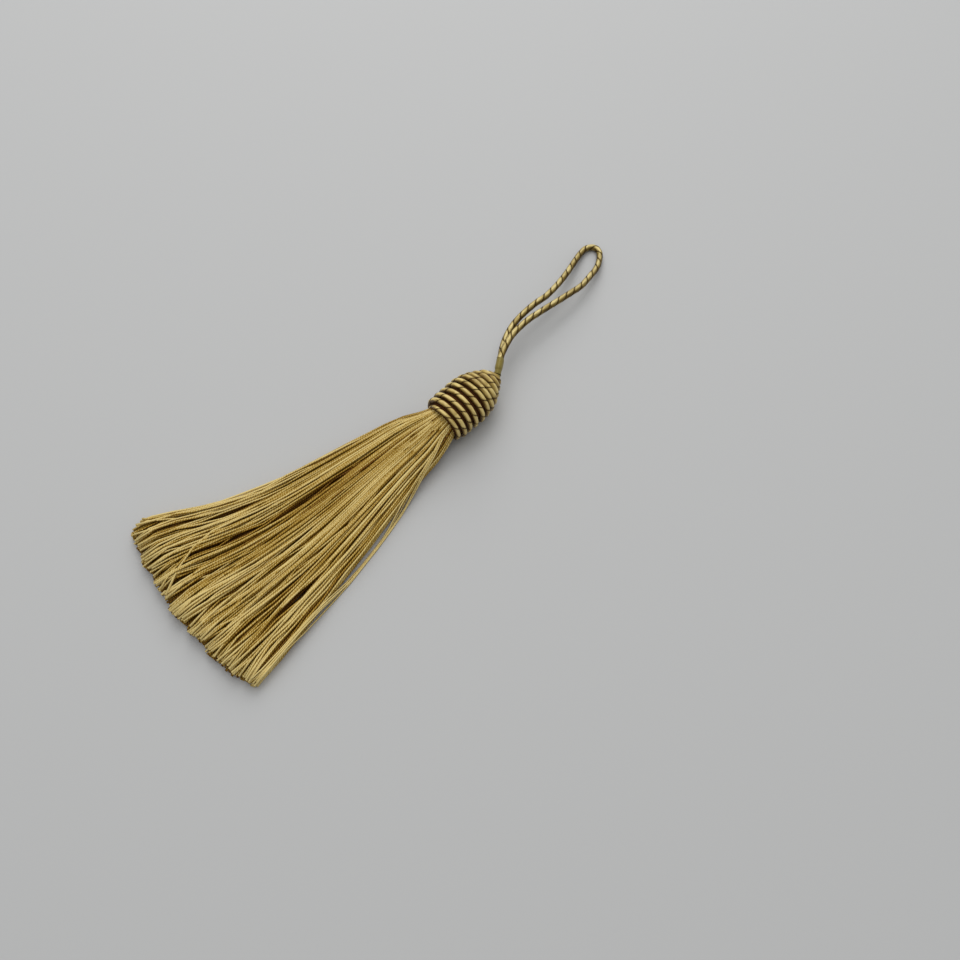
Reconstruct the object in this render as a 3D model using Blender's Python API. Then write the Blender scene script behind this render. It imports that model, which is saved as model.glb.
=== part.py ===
"""A silk tassel lying on a table: a beehive head wound from cord, a skirt of loose threads
fanned out behind it, and a hanging loop that leaves the top of the head and lies forward.

+X runs from the skirt to the loop, +Z is up and the table is z = 0. Sizes are in metres.
"""

import math

import bpy
import numpy as np

for old in list(bpy.data.objects):
    bpy.data.objects.remove(old, do_unlink=True)

MM = 0.001
FIT_GAP = 0.3 * MM
# Profiles and routes are sampled this finely before they are spaced evenly.
PROFILE_SAMPLES = 400
SPAN_SAMPLES = 24
SHARP_ANGLE = math.radians(50)

# The wound head lies along +X. Its crests are 6.5 mm from its axis and are pressed flat on the table.
# The winding starts below and behind the mouth, where its first turn is pressed flat in the mouth's plane.
WINDING_X = -10.81 * MM
WINDING_LENGTH = 20.85 * MM
MOUTH_X = -9.9 * MM
AXIS_HEIGHT = 6.2 * MM
TURNS = 10
TURN_DEPTH = 0.8 * MM
STEPS_A_TURN = 40
RAILS = 5
WINDING_START = math.radians(-54)
TOP_RISE = 0.1 * MM
# Stations along the winding: (distance along the axis, radius over the turns), in mm.
HEAD_PROFILE = (
    (0.0, 5.60),
    (1.9, 5.70),
    (2.9, 6.15),
    (4.3, 6.45),
    (6.0, 6.50),
    (11.3, 6.50),
    (13.75, 6.25),
    (16.1, 5.25),
    (18.45, 3.85),
    (19.85, 2.80),
    (20.85, 1.90),
)

# The skirt's threads start as a square lattice in a bound plug, which sits in the head's pocket.
BUNDLE_RADIUS = 4.05 * MM
THREAD_PITCH = 0.45 * MM
PLUG_LENGTH = 2.0 * MM
POCKET_LIP = 0.2 * MM
POCKET_RADIUS = BUNDLE_RADIUS + THREAD_PITCH / math.sqrt(2) + FIT_GAP
POCKET_DEPTH = 2.6 * MM
FAN_X = -9.0 * MM
# Stations along the threads from FAN_X, in mm but for the last column: (length, edge on +Y, edge on -Y,
# underside, thickness, spacing, thread width, thread height, share drawn into locks).
FAN = (
    (0.6, 4.1, -4.1, 2.1, 8.2, 0.450, 0.37, 0.33, 0.00),
    (6.0, 8.1, -6.0, 0.6, 6.4, 0.475, 0.43, 0.36, 0.00),
    (16.0, 11.7, -8.1, 0.0, 4.6, 0.485, 0.44, 0.36, 0.05),
    (34.0, 16.9, -12.5, 0.0, 3.3, 0.500, 0.45, 0.38, 0.08),
    (56.0, 24.2, -16.0, 0.0, 2.6, 0.520, 0.47, 0.39, 0.10),
    (78.6, 33.8, -18.3, 0.0, 2.3, 0.540, 0.49, 0.40, 0.12),
)
LOCKS = 9
UNEVEN_ENDS = 0.8 * MM
# How the threads settle: every 2 mm of length they spread with the fan, even out a little and push apart.
SETTLE_STEP = 2.0
SETTLE_ROUNDS = 30
SETTLE_PUSH = 0.4
START_JITTER = 0.08
EVENED_A_STEP = 0.07

# The neck and sleeve: (x, y, z, half width, half height) of each ring, in mm.
SLEEVE_RINGS = (
    (10.15, 0.0, 6.2, 1.05, 1.10),
    (10.8, 0.3, 6.3, 0.90, 1.25),
    (11.6, 0.8, 6.5, 0.88, 1.45),
    (12.0, 1.1, 6.6, 1.00, 1.65),
    (13.2, 1.9, 6.7, 1.02, 1.75),
    (14.3, 2.7, 6.8, 0.98, 1.75),
)
SLEEVE_SIDES = 14

CORD_DIAMETER = 1.7 * MM
NIP_PITCH = 2.5 * MM
CREST_SHARE = 1.02
NIP_SHARE = 0.88
# The loop's route from the lower leg's root round the tip and back to the upper leg's root, in mm.
LOOP_ROUTE = (
    (14.9, 3.2, 5.9),
    (17.8, 5.3, 5.8),
    (20.9, 6.9, 6.0),
    (24.1, 8.0, 6.2),
    (27.4, 8.6, 6.3),
    (30.9, 8.9, 6.2),
    (34.4, 9.0, 6.0),
    (38.1, 8.9, 5.5),
    (42.0, 9.4, 4.9),
    (46.1, 10.3, 4.1),
    (50.3, 11.5, 3.2),
    (54.6, 12.9, 2.3),
    (58.6, 14.1, 1.5),
    (61.4, 14.4, 1.1),
    (63.3, 13.4, 0.9),
    (63.5, 11.6, 1.0),
    (61.8, 9.6, 1.4),
    (57.9, 7.3, 2.3),
    (53.3, 6.1, 3.2),
    (48.7, 5.2, 4.1),
    (44.4, 5.2, 5.0),
    (40.3, 5.4, 5.6),
    (36.4, 5.7, 6.1),
    (32.5, 6.0, 6.5),
    (28.7, 6.2, 6.9),
    (24.9, 6.0, 7.2),
    (21.1, 5.4, 7.5),
    (17.4, 4.1, 7.7),
    (14.7, 2.9, 7.7),
)

# Finishes: (red, green, blue, roughness), in linear light.
FINISHES = {
    "gold_cord": (0.42, 0.29, 0.075, 0.42),
    "gold_thread": (0.50, 0.35, 0.10, 0.40),
    "olive_wrap": (0.26, 0.21, 0.06, 0.48),
    "loop_silk": (0.46, 0.33, 0.10, 0.42),
}


def finish(name):
    red, green, blue, roughness = FINISHES[name]
    material = bpy.data.materials.new(name)
    material.use_nodes = True
    shader = material.node_tree.nodes["Principled BSDF"]
    shader.inputs["Base Color"].default_value = (red, green, blue, 1.0)
    shader.inputs["Roughness"].default_value = roughness
    shader.inputs["Metallic"].default_value = 0.0
    return material


def add_mesh(name, vertices, faces, finish_name):
    mesh = bpy.data.meshes.new(name)
    mesh.from_pydata([tuple(map(float, v)) for v in vertices], [], faces)
    mesh.materials.append(finish(finish_name))
    mesh.shade_smooth()
    mesh.set_sharp_from_angle(angle=SHARP_ANGLE)
    obj = bpy.data.objects.new(name, mesh)
    bpy.context.collection.objects.link(obj)
    return obj


def smooth_curve(points, count):
    """Points evenly spaced along the Catmull-Rom curve through the given ones."""
    points = np.asarray(points, float)
    before = 2 * points[0] - points[1]
    after = 2 * points[-1] - points[-2]
    knots = np.vstack([before, points, after])
    share = np.linspace(0, 1, SPAN_SAMPLES, endpoint=False)[:, None]
    runs = []
    for a, b, c, d in zip(knots, knots[1:], knots[2:], knots[3:]):
        cubic = (2 * a - 5 * b + 4 * c - d) * share**2 + (3 * b - a - 3 * c + d) * share**3
        runs.append(0.5 * (2 * b + (c - a) * share + cubic))
    fine = np.vstack([*runs, points[-1:]])
    travelled = np.append(0, np.cumsum(np.linalg.norm(np.diff(fine, axis=0), axis=1)))
    wanted = np.linspace(0, travelled[-1], count)
    return np.stack([np.interp(wanted, travelled, fine[:, k]) for k in range(3)], axis=1)


def head_stations():
    """Distance along the axis and radius over the turns, for each length of surface wound over."""
    station, radius = (np.array(column) * MM for column in zip(*HEAD_PROFILE))
    along = np.linspace(0, WINDING_LENGTH, PROFILE_SAMPLES)
    over = np.interp(along, station, radius)
    wound = np.append(0, np.cumsum(np.hypot(np.diff(along), np.diff(over))))
    return wound, along, over


def head_point(turn, step):
    """A point on the winding: turn counts turns from its start, and step counts round from there."""
    wound, along, over = head_stations()
    covered = turn / (TURNS + 1) * wound[-1]
    across = 2 * (turn - step / STEPS_A_TURN) - 1
    depth = TURN_DEPTH * (1 - math.sqrt(max(0.0, 1 - across**2)))
    radius = np.interp(covered, wound, over) - depth
    angle = WINDING_START + 2 * math.pi * step / STEPS_A_TURN
    x = WINDING_X + np.interp(covered, wound, along)
    y = radius * math.cos(angle)
    z = AXIS_HEIGHT + radius * math.sin(angle)
    return (max(MOUTH_X, x), y, max(0.0, z))


def build_head():
    """One cord wound in a helix: five rails run along it, and its last rail meets the next turn's first."""
    steps = TURNS * STEPS_A_TURN
    vertices = []
    for step in range(steps + 1):
        for rail in range(RAILS):
            vertices.append(head_point(step / STEPS_A_TURN + rail / RAILS, step))
    last_edge = len(vertices)
    for step in range(steps + 1, steps + STEPS_A_TURN + 1):
        vertices.append(head_point(step / STEPS_A_TURN, step))

    def index(step, rail):
        if rail == RAILS:
            step, rail = step + STEPS_A_TURN, 0
        if step > steps:
            return last_edge + step - steps - 1
        return step * RAILS + rail

    faces = []
    for step in range(steps):
        for rail in range(RAILS):
            near, far = index(step, rail), index(step + 1, rail)
            faces.append((near, far, index(step + 1, rail + 1), index(step, rail + 1)))

    mouth = [index(step, 0) for step in range(STEPS_A_TURN + 1)]
    mouth += [index(0, rail) for rail in range(RAILS - 1, 0, -1)]
    top = [index(step, 0) for step in range(steps, steps + STEPS_A_TURN + 1)]
    top += [index(steps, rail) for rail in range(RAILS - 1, 0, -1)]

    centre = len(vertices)
    vertices.append((WINDING_X + WINDING_LENGTH + TOP_RISE, 0, AXIS_HEIGHT))
    for a, b in zip(top, top[1:] + top[:1]):
        faces.append((a, b, centre))

    lip = []
    floor_ring = []
    for place, rim in enumerate(mouth):
        turned = min(place, STEPS_A_TURN) + max(0, place - STEPS_A_TURN) / RAILS
        angle = WINDING_START + 2 * math.pi * turned / (STEPS_A_TURN + 1)
        y = POCKET_RADIUS * math.cos(angle)
        z = AXIS_HEIGHT + POCKET_RADIUS * math.sin(angle)
        lip.append(len(vertices))
        vertices.append((vertices[rim][0] + POCKET_LIP, y, z))
        floor_ring.append(len(vertices))
        vertices.append((MOUTH_X + POCKET_DEPTH, y, z))
    for outer, inner in ((mouth, lip), (lip, floor_ring)):
        for a, b, c, d in zip(outer, outer[1:] + outer[:1], inner[1:] + inner[:1], inner):
            faces.append((d, c, b, a))
    floor = len(vertices)
    vertices.append((MOUTH_X + POCKET_DEPTH, 0, AXIS_HEIGHT))
    for a, b in zip(floor_ring, floor_ring[1:] + floor_ring[:1]):
        faces.append((b, a, floor))
    return add_mesh("head_winding", vertices, faces, "gold_cord")


def ragged(place, seed):
    """A fixed uneven share from -1 to 1 for each thread."""
    wave = np.sin(12.9898 * place + 78.233 * seed) * 43758.5453
    return 2 * (wave - np.floor(wave)) - 1


def bundle_cells():
    """The lattice cells (column, row) whose centres lie inside the bound circle."""
    reach = int(BUNDLE_RADIUS / THREAD_PITCH)
    around = range(-reach, reach + 1)
    within = (BUNDLE_RADIUS / THREAD_PITCH) ** 2
    return [(column, row) for column in around for row in around if column**2 + row**2 <= within]


def fan_at(length):
    """The fan's values at a length along the threads: left, right, underside, thickness, spacing."""
    rows = np.array(FAN)
    return [np.interp(length, rows[:, 0], rows[:, k]) for k in range(1, 6)]


def push_apart(y, z, spacing):
    """Moves every two threads that are too close away from each other by a share of what they lack."""
    across = y[:, None] - y[None, :]
    up = z[:, None] - z[None, :]
    distance = np.hypot(across, up) + np.eye(len(y)) * spacing * len(y)
    push = np.clip(spacing - distance, 0, None) / distance * SETTLE_PUSH
    return y + (push * across).sum(axis=1), z + (push * up).sum(axis=1)


def settle_threads(cells):
    """Where the threads lie at each station of FAN, in mm: they spread and sink a little at a time."""
    column, row = np.array(cells, float).T
    number = np.arange(len(cells))
    pitch = THREAD_PITCH / MM
    y = column * pitch
    z = AXIS_HEIGHT / MM + row * pitch
    placed = [(y.copy(), z.copy())]
    y += START_JITTER * ragged(number, 1)
    z += START_JITTER * ragged(number, 2)
    in_order = np.argsort(np.argsort(y)) / (len(cells) - 1)
    before = fan_at(FAN[0][0])
    for start, end in zip(FAN, FAN[1:]):
        steps = round((end[0] - start[0]) / SETTLE_STEP)
        for length in np.linspace(start[0], end[0], steps + 1)[1:]:
            left, right, under, thick, spacing = fan_at(length)
            share = (y - before[1]) / (before[0] - before[1])
            share += (in_order - share) * EVENED_A_STEP
            y = right + share * (left - right)
            z = under + (z - before[2]) / before[3] * thick
            for _ in range(SETTLE_ROUNDS):
                y, z = push_apart(y, z, spacing)
                y = np.clip(y, right, left)
                z = np.maximum(z, under + spacing / 2)
            before = (left, right, under, thick)
        placed.append((y.copy(), z.copy()))
    return placed


def thread_rings(cells):
    """The three corners of every thread at every station, in the order low -Y, low +Y, top."""
    placed = settle_threads(cells)
    number = np.arange(len(cells))
    root_y = placed[0][0]
    rings = []
    for place, ((y, z), station) in enumerate(zip(placed, FAN)):
        length, left, right, _, _, spacing, width, height, drawn = station
        share = (y - right) / (left - right)
        share = share + drawn * np.sin(2 * np.pi * LOCKS * share) / (2 * np.pi * LOCKS)
        y = right + share * (left - right)
        if place == len(FAN) - 1:
            length = length + ragged(number, 3) * UNEVEN_ENDS / MM
        lean = (y - root_y) / length
        x = FAN_X / MM - length * np.sqrt(1 - lean**2)
        under = z - height / 2 if place == 0 else z - spacing / 2
        middle = np.stack([x, y, under], axis=1)
        across = np.stack([lean, np.sqrt(1 - lean**2), 0 * y], axis=1) * width / 2
        rings.append(np.stack([middle - across, middle + across, middle + (0, 0, height)], axis=1) * MM)
    return np.stack(rings, axis=1)


def build_skirt():
    """Threads of three sides, apart from each other, that grow out of one bound plug."""
    cells = bundle_cells()
    rings = thread_rings(cells)
    face_x = FAN_X - FAN[0][0] * MM
    corners = {}
    vertices = []
    faces = []

    def corner(column, row):
        if (column, row) not in corners:
            corners[(column, row)] = len(vertices)
            y = (column - 0.5) * THREAD_PITCH
            vertices.append((face_x, y, AXIS_HEIGHT + (row - 0.5) * THREAD_PITCH))
        return corners[(column, row)]

    edges = set()
    for (column, row), thread in zip(cells, rings):
        low = corner(column, row)
        low_next = corner(column + 1, row)
        high_next = corner(column + 1, row + 1)
        high = corner(column, row + 1)
        edges.update(((low, low_next), (low_next, high_next), (high_next, high), (high, low)))
        start = len(vertices)
        vertices.extend(thread.reshape(-1, 3))
        left, right, top = start, start + 1, start + 2
        faces.append((left, right, low_next, low))
        faces.append((right, top, high_next, low_next))
        faces.append((top, high, high_next))
        faces.append((top, left, low, high))
        for near in range(start, start + 3 * (len(FAN) - 1), 3):
            for k in range(3):
                after = (k + 1) % 3
                faces.append((near + 3 + k, near + 3 + after, near + after, near + k))
        end = start + 3 * (len(FAN) - 1)
        faces.append((end + 2, end + 1, end))

    outline = [(a, b) for a, b in sorted(edges) if (b, a) not in edges]
    back = {}
    for a, _ in outline:
        back[a] = len(vertices)
        vertices.append((face_x + PLUG_LENGTH, *vertices[a][1:]))
    centre = len(vertices)
    vertices.append((face_x + PLUG_LENGTH, 0, AXIS_HEIGHT))
    for a, b in outline:
        faces.append((back[b], back[a], a, b))
        faces.append((centre, back[a], back[b]))
    return add_mesh("skirt", vertices, faces, "gold_thread")


def build_sleeve():
    """Oval rings lofted along the neck, with both ends closed flat."""
    path = np.array([ring[:3] for ring in SLEEVE_RINGS]) * MM
    halves = np.array([ring[3:] for ring in SLEEVE_RINGS]) * MM
    path[0] += (FIT_GAP, 0, 0)
    heading = np.gradient(path, axis=0)
    heading /= np.linalg.norm(heading, axis=1)[:, None]
    sideways = np.cross((0, 0, 1), heading)
    sideways /= np.linalg.norm(sideways, axis=1)[:, None]
    upwards = np.cross(heading, sideways)
    turn = np.arange(SLEEVE_SIDES) * 2 * math.pi / SLEEVE_SIDES
    vertices = []
    for centre, (half_width, half_height), side, up in zip(path, halves, sideways, upwards):
        for angle in turn:
            vertices.append(centre + half_width * math.cos(angle) * side + half_height * math.sin(angle) * up)
    faces = []
    for ring in range(len(path) - 1):
        for k in range(SLEEVE_SIDES):
            after = (k + 1) % SLEEVE_SIDES
            a, b = ring * SLEEVE_SIDES + k, ring * SLEEVE_SIDES + after
            faces.append((a, b, b + SLEEVE_SIDES, a + SLEEVE_SIDES))
    faces.append(tuple(reversed(range(SLEEVE_SIDES))))
    last = (len(path) - 1) * SLEEVE_SIDES
    faces.append(tuple(range(last, last + SLEEVE_SIDES)))
    return add_mesh("loop_sleeve", vertices, faces, "olive_wrap")


def build_loop():
    """A round cord whose binding thread nips it at even steps."""
    route = np.array(LOOP_ROUTE) * MM
    length = np.linalg.norm(np.diff(smooth_curve(route, PROFILE_SAMPLES), axis=0), axis=1).sum()
    nips = round(length / NIP_PITCH)
    points = smooth_curve(route, 2 * nips + 1)
    curve = bpy.data.curves.new("loop_cord", "CURVE")
    curve.dimensions = "3D"
    curve.bevel_depth = CORD_DIAMETER / 2
    curve.bevel_resolution = 2
    curve.use_fill_caps = True
    curve.materials.append(finish("loop_silk"))
    spline = curve.splines.new("POLY")
    spline.points.add(len(points) - 1)
    for place, (point, bead) in enumerate(zip(points, spline.points)):
        bead.co = (*point, 1.0)
        bead.radius = CREST_SHARE if place % 2 else NIP_SHARE
    obj = bpy.data.objects.new("loop_cord", curve)
    bpy.context.collection.objects.link(obj)
    return obj


build_head()
build_skirt()
build_sleeve()
build_loop()
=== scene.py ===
import math

import bpy
import numpy as np
from mathutils import Matrix


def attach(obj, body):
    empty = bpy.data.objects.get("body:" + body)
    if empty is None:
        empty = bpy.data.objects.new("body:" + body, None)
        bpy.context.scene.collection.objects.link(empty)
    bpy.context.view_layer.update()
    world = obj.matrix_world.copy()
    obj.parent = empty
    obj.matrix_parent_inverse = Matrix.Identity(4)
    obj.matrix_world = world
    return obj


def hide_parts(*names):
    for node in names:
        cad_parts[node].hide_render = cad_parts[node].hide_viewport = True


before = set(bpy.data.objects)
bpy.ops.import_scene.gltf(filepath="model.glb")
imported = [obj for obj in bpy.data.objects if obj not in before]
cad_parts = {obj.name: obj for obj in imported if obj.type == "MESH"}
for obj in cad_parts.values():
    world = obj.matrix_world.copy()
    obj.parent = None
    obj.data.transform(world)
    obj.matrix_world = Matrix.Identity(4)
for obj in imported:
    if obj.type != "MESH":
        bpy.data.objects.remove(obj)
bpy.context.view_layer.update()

# ---- Camera, table and light -------------------------------------------------------------------
# The tassel lies on a plain pale table in a bright room, under a wide soft lamp that hangs a little
# towards its +Y side. A second soft lamp stands beyond its +X, +Y corner. The camera looks down on
# it steeply from the -Y side.

MM = 0.001
CAMERA_PLACE = (-91.298 * MM, -85.926 * MM, 215.801 * MM)
CAMERA_FORWARD = (0.33139, 0.29051, -0.89765)
CAMERA_RIGHT = (0.70713, -0.70634, 0.03246)
CAMERA_DOWN = (-0.62462, -0.64552, -0.43950)
CAMERA_LENS = 35.947
CAMERA_SENSOR = 36.0
NEAREST_SEEN = 0.01
FARTHEST_SEEN = 10.0

camera_data = bpy.data.cameras.new("camera")
camera_data.lens = CAMERA_LENS
camera_data.sensor_width = CAMERA_SENSOR
camera_data.sensor_fit = "HORIZONTAL"
camera_data.clip_start = NEAREST_SEEN
camera_data.clip_end = FARTHEST_SEEN
camera = bpy.data.objects.new("camera", camera_data)
bpy.context.scene.collection.objects.link(camera)
columns = [CAMERA_RIGHT, [-d for d in CAMERA_DOWN], [-f for f in CAMERA_FORWARD], CAMERA_PLACE]
rows = [[column[row] for column in columns] for row in range(3)]
camera.matrix_world = Matrix(rows + [[0, 0, 0, 1]])
bpy.context.scene.camera = camera
bpy.context.scene.view_settings.view_transform = "Standard"

TABLE_SIDE = 3.0
TABLE_GREY = (0.50, 0.50, 0.495)

half = TABLE_SIDE / 2
table_corners = [(-half, -half, 0), (half, -half, 0), (half, half, 0), (-half, half, 0)]
table_mesh = bpy.data.meshes.new("table")
table_mesh.from_pydata(table_corners, [], [(0, 1, 2, 3)])
table_top = bpy.data.materials.new("table_top")
table_top.use_nodes = True
table_shader = table_top.node_tree.nodes["Principled BSDF"]
table_shader.inputs["Base Color"].default_value = (*TABLE_GREY, 1)
table_shader.inputs["Roughness"].default_value = 0.7
table_shader.inputs["Specular IOR Level"].default_value = 0.2
table_mesh.materials.append(table_top)
table = bpy.data.objects.new("table", table_mesh)
bpy.context.scene.collection.objects.link(table)

ROOM_COLOUR = (0.96, 0.98, 1.0)
ROOM_STRENGTH = 0.39

room = bpy.data.worlds.new("room")
room.use_nodes = True
room.node_tree.nodes["Background"].inputs["Color"].default_value = (*ROOM_COLOUR, 1)
room.node_tree.nodes["Background"].inputs["Strength"].default_value = ROOM_STRENGTH
bpy.context.scene.world = room


def unit(vectors):
    """Each vector divided by its own length."""
    return vectors / np.linalg.norm(vectors, axis=-1, keepdims=True)


def add_lamp(name, place, side, power):
    """A square lamp at a place, turned so that its face looks at the origin, under the head."""
    data = bpy.data.lights.new(name, "AREA")
    data.shape = "SQUARE"
    data.size = side
    data.energy = power
    lamp = bpy.data.objects.new(name, data)
    away = unit(np.array(place))
    sideways = unit(np.cross((0, 1, 0), away))
    upward = np.cross(away, sideways)
    rows = [[sideways[k], upward[k], away[k], place[k]] for k in range(3)]
    lamp.matrix_world = Matrix(rows + [[0, 0, 0, 1]])
    bpy.context.scene.collection.objects.link(lamp)


add_lamp("ceiling_lamp", place=(0.05, 0.12, 0.85), side=0.90, power=3.50)
add_lamp("window_lamp", place=(0.48, 0.52, 0.62), side=0.75, power=4.10)

# ---- The hanging loop --------------------------------------------------------------------------
# One silk cord, a satin bundle of straight filaments bound by two fine dark threads that are wound
# round it side by side and nip it every 3.1 mm. Both of its ends go into the sleeve, out of sight.

CORD_DIAMETER = 1.7 * MM
CORD_SIDES = 20
CORD_RING_GAP = 0.15 * MM
HIDDEN_RINGS = 7
BINDING_THREADS = 2
BINDING_PITCH = 6.2 * MM
BINDING_RADIUS = 0.115 * MM
BINDING_SIDES = 5
BINDING_STEPS = 22
NIP_DEPTH = 0.13
NIP_WIDTH = 0.30 * MM
# A thread's middle stands out of its groove by this share of the thread's radius.
BINDING_PROUD = 0.3
LOOP_ROUTE = (
    (14.9, 3.2, 5.9),
    (17.8, 5.3, 5.8),
    (20.9, 6.9, 6.0),
    (24.1, 8.0, 6.2),
    (27.4, 8.6, 6.3),
    (30.9, 8.9, 6.2),
    (34.4, 9.0, 6.0),
    (38.1, 8.9, 5.5),
    (42.0, 9.4, 4.9),
    (46.1, 10.3, 4.1),
    (50.3, 11.5, 3.2),
    (54.6, 12.9, 2.3),
    (58.6, 14.1, 1.5),
    (61.4, 14.4, 1.1),
    (63.3, 13.4, 0.9),
    (63.5, 11.6, 1.0),
    (61.8, 9.6, 1.4),
    (57.9, 7.3, 2.3),
    (53.3, 6.1, 3.2),
    (48.7, 5.2, 4.1),
    (44.4, 5.2, 5.0),
    (40.3, 5.4, 5.6),
    (36.4, 5.7, 6.1),
    (32.5, 6.0, 6.5),
    (28.7, 6.2, 6.9),
    (24.9, 6.0, 7.2),
    (21.1, 5.4, 7.5),
    (17.4, 4.1, 7.7),
    (14.7, 2.9, 7.7),
)
CURVE_STEPS = 40
# How dark the satin is painted, from bright (0) to deep (1): painted shade by how far it turns away
# from the lamps, painted shade by how deep it lies in a groove, and a tone that differs by chance
# from one nip to the next.
TOWARDS_LAMPS = (0.10, 0.20, 0.97)
FLANK_START = 1.75
FLANK_RISE = 1.9
FLANK_MOST = 0.75
# The painted shade on the flanks fades again on the side turned right away from the lamps.
BACK_FALL = 1.2
BACK_LEAST = 0.4
GROOVE_SHADE = 0.7
LOOP_TONES = (-0.05, 0.28)
LOOP_TONE_COUNT = 100
# How the silk's streaks show: the part of their noise that is used, how far it shifts the colour,
# the slant of a yarn's twist and its share of the pattern, and how far the surface is lifted.
STREAK_NOISE = (0.25, 0.75)
STREAK_SHIFT = 0.26
TWIST_SLANT = math.radians(-60)
TWIST_SHARE = 0.38
STREAK_LIFT = 0.06 * MM


def along_curve(points, gap):
    """Points a gap apart along the Catmull-Rom curve through the given ones, which is the cubic
    that passes each point in the direction from the one before it to the one after."""
    points = np.asarray(points, float)
    knots = np.vstack([2 * points[0] - points[1], points, 2 * points[-1] - points[-2]])
    a, b, c, d = (knots[k : k + len(points) - 1, None] for k in range(4))
    share = np.linspace(0, 1, CURVE_STEPS, endpoint=False)[None, :, None]
    bend = (2 * a - 5 * b + 4 * c - d) * share**2 + (3 * b - a - 3 * c + d) * share**3
    curve = (b + 0.5 * ((c - a) * share + bend)).reshape(-1, points.shape[1])
    fine = np.vstack([curve, points[-1:]])
    travelled = run_length(fine)
    wanted = np.linspace(0, travelled[-1], round(travelled[-1] / gap) + 1)
    return at_lengths(wanted, travelled, fine)


def at_lengths(wanted, lengths, rows):
    """A table's rows at the wanted lengths, each read off evenly between the rows beside it."""
    return np.stack([np.interp(wanted, lengths, column) for column in rows.T], axis=1)


def run_length(path):
    """The length of the path up to each of its points."""
    return np.append(0, np.cumsum(np.linalg.norm(np.diff(path, axis=0), axis=1)))


def cross_directions(path, up=(0, 0, 1)):
    """For each point of a path or of many: its heading, the direction across it, which is square to
    the up direction, and the one square to both."""
    heading = unit(np.gradient(path, axis=-2))
    side = unit(np.cross(np.broadcast_to(up, heading.shape), heading))
    return heading, side, np.cross(heading, side)


def ring_turns(sides):
    """The turns of a ring's points, shared evenly round it, in radians."""
    return np.arange(sides) * 2 * math.pi / sides


def ring_directions(side, rise, sides):
    """The ways out from a tube's middle line to the points of its rings: the cosine of the turn
    times the direction across, plus the sine of the turn times the one upwards."""
    turn = ring_turns(sides)
    return np.cos(turn)[:, None] * side[..., None, :] + np.sin(turn)[:, None] * rise[..., None, :]


def tube_grid(path, side, rise, radius, sides):
    """The surface of a tube as a grid of rings: the path's point plus the radius times each way
    out. The radius is one number, or one for each point, or one a ring with a last axis of one."""
    return path[..., None, :] + np.asarray(radius)[..., None] * ring_directions(side, rise, sides)


def tube_faces(rings, sides, start=0):
    """The four-cornered faces of a tube, one row of them between every two rings."""
    ring = np.arange(rings - 1)[:, None] * sides
    k = np.arange(sides)[None, :]
    after = (k + 1) % sides
    corners = np.stack([ring + k, ring + after, ring + sides + after, ring + sides + k], axis=-1)
    return corners.reshape(-1, 4) + start


def tube_ends(rings, sides, start=0):
    """The two flat faces that close a tube: its first ring the other way round, and its last."""
    ring = np.arange(sides)
    return start + ring[::-1], start + (rings - 1) * sides + ring


def tube_map(lengths, sides, around):
    """Map coordinates in metres for a tube's faces: how far round it and how far along it."""
    low, high = lengths[:-1, None], lengths[1:, None]
    near = np.arange(sides)[None, :] * around / sides
    far = near + around / sides
    u = np.stack(np.broadcast_arrays(near, far, far, near), axis=-1) + 0 * low[..., None]
    v = np.stack(np.broadcast_arrays(low, low, high, high), axis=-1) + 0 * near[..., None]
    return np.stack([u, v], axis=-1).reshape(-1, 4, 2)


def add_piece(name, points, quads, ends, weave, shade, material):
    """Makes a mesh object from whole arrays: its points, its four-cornered faces, its flat end
    faces, the map coordinates of each face's corners, and how dark the silk is at each point."""
    mesh = bpy.data.meshes.new(name)
    corners = np.concatenate([quads.reshape(-1), *ends]).astype(np.int32)
    sizes = np.array([4] * len(quads) + [len(end) for end in ends])
    mesh.vertices.add(len(points))
    mesh.vertices.foreach_set("co", np.asarray(points, np.float32).ravel())
    mesh.loops.add(len(corners))
    mesh.loops.foreach_set("vertex_index", corners)
    mesh.polygons.add(len(sizes))
    mesh.polygons.foreach_set("loop_start", np.append(0, np.cumsum(sizes)[:-1]).astype(np.int32))
    mesh.update(calc_edges=True)
    at_ends = np.zeros(2 * len(corners) - weave.size)
    layer = mesh.uv_layers.new(name="weave")
    layer.data.foreach_set("uv", np.append(weave.reshape(-1), at_ends).astype(np.float32))
    carried = mesh.attributes.new("shade", "FLOAT", "POINT")
    carried.data.foreach_set("value", np.asarray(shade, np.float32).ravel())
    mesh.materials.append(material)
    mesh.shade_smooth()
    mesh.validate()
    piece = bpy.data.objects.new(name, mesh)
    bpy.context.scene.collection.objects.link(piece)
    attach(piece, "root")
    return piece


def add_tube(name, grid, lengths, around, shade, material):
    """Makes a piece of one closed tube from its grid of rings, the lengths up to them, how far it
    is round it, and how dark the silk is."""
    rings, sides = grid.shape[:2]
    return add_piece(
        name,
        grid.reshape(-1, 3),
        tube_faces(rings, sides),
        tube_ends(rings, sides),
        tube_map(lengths, sides, around),
        np.broadcast_to(shade, (rings, sides)),
        material,
    )


def nipped_radius(lengths, sides, radius, pitch, depth, width, threads=1):
    """The radius of a bound cord at each point: full, less round-bottomed grooves that run round it
    as helices of the given pitch, one a thread. A groove's depth is a bell curve of the distance
    from its middle."""
    turn = np.arange(sides)[None, :] / sides
    phase = threads * (lengths[:, None] / pitch + turn)
    off = (phase - np.floor(phase) - 0.5) * pitch / threads
    return radius * (1 - depth * np.exp(-((off / width) ** 2)))


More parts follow.
